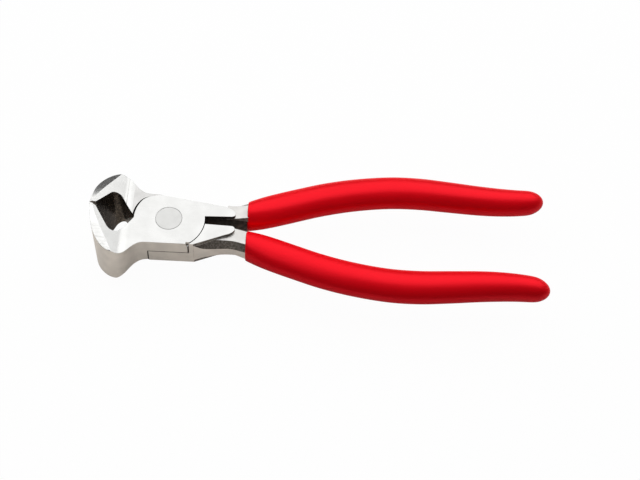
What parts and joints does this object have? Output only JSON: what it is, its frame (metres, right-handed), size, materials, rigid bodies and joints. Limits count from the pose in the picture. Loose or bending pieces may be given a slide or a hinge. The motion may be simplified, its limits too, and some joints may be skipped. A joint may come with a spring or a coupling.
{
  "type": "end cutting nippers",
  "caption": "End cutting nippers: flared jaws with wide cutting edges across the end, a riveted lap joint and bowed handles with dipped red grips.",
  "frame": {"origin": "on the rivet's axis, in the joint's rear face", "axes": "+X from the jaws to the handle ends, +Y towards the upper handle of the picture, +Z along the rivet out of the front face"},
  "size_m": [0.178, 0.0576, 0.0304],
  "materials": {
    "lever_steel": "ground and satin plated forging",
    "rivet_steel": "ground flush with the joint's faces",
    "grip_pvc": "smooth glossy dipped coat"
  },
  "bodies": {
    "rear": {"rear_lever": "lever_steel", "rivet": "rivet_steel", "lower_grip": "grip_pvc"},
    "front": {"front_lever": "lever_steel", "upper_grip": "grip_pvc"}
  },
  "joints": [
    {"name": "rivet_hinge", "type": "hinge", "parent": "rear", "child": "front", "pos_m": [0, 0, 0.0064], "axis": [0, 0, 1], "range_deg": [0, 35]}
  ]
}
